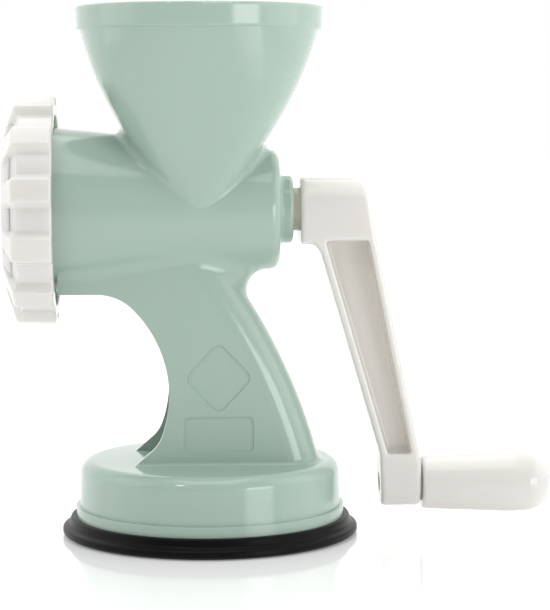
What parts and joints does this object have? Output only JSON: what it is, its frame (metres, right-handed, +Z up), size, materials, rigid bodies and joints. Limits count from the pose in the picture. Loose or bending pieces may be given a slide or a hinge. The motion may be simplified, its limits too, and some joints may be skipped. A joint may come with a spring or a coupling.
{
  "type": "manual meat grinder",
  "caption": "Hand-cranked meat grinder with a round hopper, fluted ring nut, arched leg and a lever-locked rubber suction foot.",
  "frame": {"origin": "centre of the flat ring on which the rubber foot rests on the table", "axes": "+Z up, +X along the feed axis towards the crank, -X the side the minced food leaves, -Y the side with the two blank panels"},
  "size_m": [0.2452, 0.1362, 0.2357],
  "materials": {
    "mint_plastic": "glossy moulded pastel green plastic",
    "white_plastic": "glossy moulded white plastic",
    "natural_nylon": "satin natural nylon",
    "rubber": "satin black rubber",
    "steel": "ground stainless steel"
  },
  "bodies": {
    "housing": {"housing": "mint_plastic", "base_plate": "mint_plastic", "suction_pad": "rubber", "base_plate_screws": "steel", "cam_bearing_cap": "white_plastic", "cam_bearing_screws": "steel", "thrust_washer": "natural_nylon", "shaft_seal": "rubber", "bearing_bush": "natural_nylon", "plate_peg": "steel"},
    "plate": {"cutting_plate": "steel"},
    "nut": {"ring_nut": "white_plastic"},
    "crank": {"feed_screw": "natural_nylon", "knife_spindle": "steel", "knife": "steel", "crank_arm": "white_plastic", "crank_washer": "steel", "crank_screw": "steel", "grip_axle": "natural_nylon", "axle_screw": "steel"},
    "grip": {"grip": "white_plastic"},
    "lever": {"suction_lever": "white_plastic", "cam_shaft": "natural_nylon", "lever_screw": "steel"},
    "stud": {"lift_stud": "steel"}
  },
  "joints": [
    {"name": "crank_turn", "type": "hinge", "parent": "housing", "child": "crank", "pos_m": [0, 0, 0.1455], "axis": [1, 0, 0], "continuous": true},
    {"name": "grip_spin", "type": "hinge", "parent": "crank", "child": "grip", "pos_m": [0.12, 0, 0.0211], "axis": [1, 0, 0], "continuous": true},
    {"name": "plate_slide", "type": "slide", "parent": "housing", "child": "plate", "axis": [-1, 0, 0], "range_m": [0, 0.01252]},
    {"name": "nut_turn", "type": "hinge", "parent": "plate", "child": "nut", "pos_m": [-0.078, 0, 0.1455], "axis": [-1, 0, 0], "range_deg": [0, 900]},
    {"name": "lever_turn", "type": "hinge", "parent": "housing", "child": "lever", "pos_m": [0, 0.06, 0.02], "axis": [0, 1, 0], "range_deg": [0, 90]},
    {"name": "stud_lift", "type": "slide", "parent": "housing", "child": "stud", "axis": [0, 0, 1], "range_m": [-0.0035, 0], "deforming": ["suction_pad"]}
  ],
  "couplings": [
    {"joint": "plate_slide", "follows": "nut_turn", "m_per_rad": 0.00079577},
    {"joint": "stud_lift", "follows": "lever_turn", "m_per_rad": -0.0021608}
  ]
}
